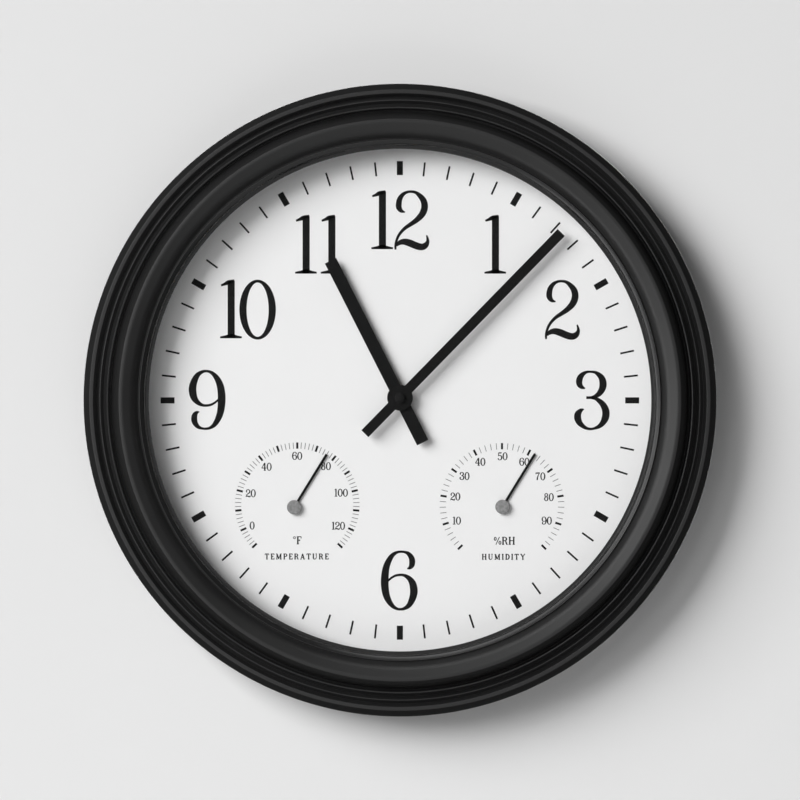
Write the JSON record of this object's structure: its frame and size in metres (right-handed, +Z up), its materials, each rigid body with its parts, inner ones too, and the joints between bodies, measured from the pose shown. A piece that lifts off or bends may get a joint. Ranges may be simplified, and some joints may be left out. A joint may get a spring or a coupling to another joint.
{
  "type": "outdoor wall clock",
  "caption": "Round outdoor wall clock with a stepped black bezel, white dial, two baton hands, quartz movement, thermometer and hygrometer, hung on a keyhole plate.",
  "frame": {"origin": "the seat of the wall hook in the keyhole slot, on the plane of the wall", "axes": "+Y points into the wall, so the dial faces -Y; +Z is up; +X is to the right of someone who reads the dial"},
  "size_m": [0.4572, 0.0508, 0.4572],
  "materials": {
    "bezel_plastic": "satin moulded black plastic",
    "cover_plastic": "fine textured black plastic",
    "movement_plastic": "moulded black plastic",
    "rubber": "matt black rubber",
    "lens_glass": "clear flat glass",
    "dial_print": "matt white with black print",
    "hand_paint": "satin black paint",
    "hub_grey": "matt grey plastic",
    "zinc_steel": "zinc plated",
    "brass": "turned brass",
    "nylon_white": "natural moulded nylon",
    "nylon_red": "red moulded nylon",
    "magnet": "ground ferrite magnet",
    "copper": "enamelled copper wire",
    "circuit_green": "green solder mask",
    "bimetal": "rolled bimetal strip",
    "cell_jacket": "printed blue cell jacket"
  },
  "bodies": {
    "case": {"bezel": "bezel_plastic", "lens_gasket": "rubber", "lens": "lens_glass", "spacer_ring": "bezel_plastic", "dial": "dial_print", "rear_cover": "cover_plastic", "hanger_plate": "zinc_steel", "hanger_screw_upper": "zinc_steel", "hanger_screw_lower": "zinc_steel", "case_screw_1": "zinc_steel", "case_screw_2": "zinc_steel", "case_screw_3": "zinc_steel", "case_screw_4": "zinc_steel", "case_screw_5": "zinc_steel", "case_screw_6": "zinc_steel", "case_screw_7": "zinc_steel", "case_screw_8": "zinc_steel", "bumper_left": "rubber", "bumper_right": "rubber", "movement_front_case": "movement_plastic", "movement_rear_case": "movement_plastic", "train_bridge": "movement_plastic", "rubber_washer": "rubber", "brass_washer": "brass", "stem_nut": "brass", "stator": "zinc_steel", "coil_bobbin": "nylon_white", "coil_winding": "copper", "circuit_board": "circuit_green", "quartz_crystal": "zinc_steel", "positive_contact": "zinc_steel", "negative_contact": "zinc_steel", "thermometer_housing": "movement_plastic", "thermometer_coil": "bimetal", "hygrometer_housing": "movement_plastic", "hygrometer_coil": "bimetal"},
    "minute": {"minute_hand": "hand_paint", "hand_cap_nut": "hand_paint", "centre_wheel": "nylon_white"},
    "hour": {"hour_hand": "hand_paint", "hour_wheel": "nylon_white"},
    "seconds": {"seconds_wheel": "nylon_white"},
    "third": {"third_wheel": "nylon_white"},
    "intermediate": {"intermediate_wheel": "nylon_white"},
    "motor_rotor": {"rotor": "magnet"},
    "motion": {"motion_wheel": "nylon_white"},
    "setting": {"setting_knob": "nylon_red"},
    "battery": {"cell": "cell_jacket"},
    "thermometer": {"thermometer_spindle": "zinc_steel", "thermometer_pointer": "hand_paint", "thermometer_cap": "hub_grey"},
    "hygrometer": {"hygrometer_spindle": "zinc_steel", "hygrometer_pointer": "hand_paint", "hygrometer_cap": "hub_grey"}
  },
  "joints": [
    {"name": "minute_hand_turn", "type": "hinge", "parent": "case", "child": "minute", "pos_m": [0, -0.032, -0.1483], "axis": [0, 1, 0], "continuous": true},
    {"name": "hour_hand_turn", "type": "hinge", "parent": "case", "child": "hour", "pos_m": [0, -0.03, -0.1483], "axis": [0, 1, 0], "continuous": true},
    {"name": "seconds_wheel_turn", "type": "hinge", "parent": "case", "child": "seconds", "pos_m": [0, -0.0133, -0.1483], "axis": [0, 1, 0], "continuous": true},
    {"name": "third_wheel_turn", "type": "hinge", "parent": "case", "child": "third", "pos_m": [-0.00707, -0.0143, -0.14123], "axis": [0, 1, 0], "continuous": true},
    {"name": "intermediate_wheel_turn", "type": "hinge", "parent": "case", "child": "intermediate", "pos_m": [0.00509, -0.0123, -0.14321], "axis": [0, 1, 0], "continuous": true},
    {"name": "rotor_turn", "type": "hinge", "parent": "case", "child": "motor_rotor", "pos_m": [0.00772, -0.0101, -0.13866], "axis": [0, 1, 0], "continuous": true},
    {"name": "motion_wheel_turn", "type": "hinge", "parent": "case", "child": "motion", "pos_m": [0.00977, -0.0177, -0.14474], "axis": [0, 1, 0], "continuous": true},
    {"name": "setting_knob_turn", "type": "hinge", "parent": "case", "child": "setting", "pos_m": [0.01646, -0.004, -0.15271], "axis": [0, 1, 0], "continuous": true},
    {"name": "thermometer_pointer_turn", "type": "hinge", "parent": "case", "child": "thermometer", "pos_m": [-0.07649, -0.026, -0.22739], "axis": [0, 1, 0], "range_deg": [-166.6, 103.4], "stiffness_Nm_per_rad": 0.0005},
    {"name": "hygrometer_pointer_turn", "type": "hinge", "parent": "case", "child": "hygrometer", "pos_m": [0.07399, -0.026, -0.22709], "axis": [0, 1, 0], "range_deg": [-166.6, 103.4], "stiffness_Nm_per_rad": 0.0005},
    {"name": "battery_slide", "type": "slide", "parent": "case", "child": "battery", "axis": [0, 1, 0], "range_m": [0, 0.025]}
  ],
  "couplings": [
    {"joint": "hour_hand_turn", "follows": "minute_hand_turn", "ratio": 0.083333},
    {"joint": "seconds_wheel_turn", "follows": "minute_hand_turn", "ratio": 60},
    {"joint": "third_wheel_turn", "follows": "minute_hand_turn", "ratio": -8},
    {"joint": "intermediate_wheel_turn", "follows": "minute_hand_turn", "ratio": -300},
    {"joint": "rotor_turn", "follows": "minute_hand_turn", "ratio": 1800},
    {"joint": "motion_wheel_turn", "follows": "minute_hand_turn", "ratio": -0.33333},
    {"joint": "setting_knob_turn", "follows": "minute_hand_turn", "ratio": 1}
  ]
}
